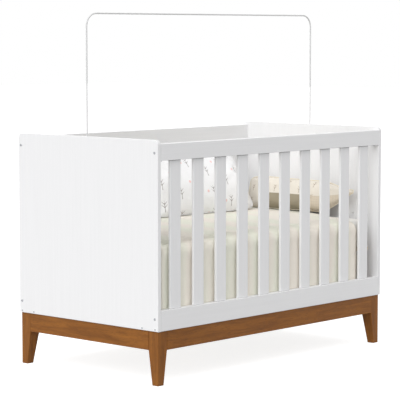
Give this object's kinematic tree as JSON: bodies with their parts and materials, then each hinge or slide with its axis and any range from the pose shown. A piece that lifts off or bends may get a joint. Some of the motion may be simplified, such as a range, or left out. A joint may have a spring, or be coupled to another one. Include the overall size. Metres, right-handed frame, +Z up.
{
  "type": "baby crib",
  "caption": "Baby crib with solid white end panels, slatted sides, a brown wooden base on tapered legs, a net arch, mattress, quilt and pillows.",
  "frame": {"origin": "on the floor under the middle of the crib", "axes": "+Z up, X along the crib, -Y out of its front side; the pillows lie towards +X and +Y"},
  "size_m": [1.3744, 0.764, 1.394],
  "materials": {
    "white_lacquer": "satin white lacquer on board",
    "stained_wood": "brown stain under satin varnish",
    "raw_board": "bare board and batten, lightly sanded",
    "zinc_steel": "bright zinc plate",
    "white_steel": "white powder coat",
    "mattress_cloth": "woven mattress ticking",
    "cream_quilting": "soft cotton quilt",
    "white_print": "white cotton with a sparse print",
    "cream_print": "cream cotton with a twig print"
  },
  "bodies": {
    "crib_frame": {"left_end_panel": "white_lacquer", "right_end_panel": "white_lacquer", "front_top_rail": "white_lacquer", "front_bottom_rail": "white_lacquer", "front_slat_1": "white_lacquer", "front_slat_2": "white_lacquer", "front_slat_3": "white_lacquer", "front_slat_4": "white_lacquer", "front_slat_5": "white_lacquer", "front_slat_6": "white_lacquer", "front_slat_7": "white_lacquer", "front_slat_8": "white_lacquer", "front_slat_9": "white_lacquer", "front_slat_10": "white_lacquer", "back_top_rail": "white_lacquer", "back_bottom_rail": "white_lacquer", "back_slat_1": "white_lacquer", "back_slat_2": "white_lacquer", "back_slat_3": "white_lacquer", "back_slat_4": "white_lacquer", "back_slat_5": "white_lacquer", "back_slat_6": "white_lacquer", "back_slat_7": "white_lacquer", "back_slat_8": "white_lacquer", "back_slat_9": "white_lacquer", "back_slat_10": "white_lacquer", "front_left_leg": "stained_wood", "front_right_leg": "stained_wood", "back_left_leg": "stained_wood", "back_right_leg": "stained_wood", "front_apron": "stained_wood", "back_apron": "stained_wood", "left_apron": "stained_wood", "right_apron": "stained_wood", "left_base_cleat": "raw_board", "right_base_cleat": "raw_board", "left_front_top_rail_bolt": "zinc_steel", "left_front_bottom_rail_bolt": "zinc_steel", "left_front_hanging_bolt": "zinc_steel", "left_back_top_rail_bolt": "zinc_steel", "left_back_bottom_rail_bolt": "zinc_steel", "left_back_hanging_bolt": "zinc_steel", "right_front_top_rail_bolt": "zinc_steel", "right_front_bottom_rail_bolt": "zinc_steel", "right_front_hanging_bolt": "zinc_steel", "right_back_top_rail_bolt": "zinc_steel", "right_back_bottom_rail_bolt": "zinc_steel", "right_back_hanging_bolt": "zinc_steel"},
    "mattress_base": {"mattress_board": "raw_board", "mattress_board_rib": "raw_board", "left_hanging_angle": "white_steel", "right_hanging_angle": "white_steel"},
    "made_bed": {"mattress": "mattress_cloth", "quilt": "cream_quilting"},
    "white_pillow": {"white_pillow": "white_print"},
    "cream_pillow": {"cream_pillow": "cream_print"},
    "net_arch": {"net_arch": "white_steel"}
  },
  "joints": [
    {"name": "mattress_base_height", "type": "slide", "parent": "crib_frame", "child": "mattress_base", "axis": [0, 0, 1], "range_m": [0, 0.162]},
    {"name": "mattress_lift", "type": "slide", "parent": "mattress_base", "child": "made_bed", "axis": [0, 0, 1], "range_m": [0, 0.1]},
    {"name": "white_pillow_lift", "type": "slide", "parent": "made_bed", "child": "white_pillow", "axis": [0, 0, 1], "range_m": [0, 0.4]},
    {"name": "cream_pillow_lift", "type": "slide", "parent": "made_bed", "child": "cream_pillow", "axis": [0, 0, 1], "range_m": [0, 0.4]},
    {"name": "net_arch_lift", "type": "slide", "parent": "crib_frame", "child": "net_arch", "axis": [0, 0, 1], "range_m": [0, 0.08]}
  ]
}
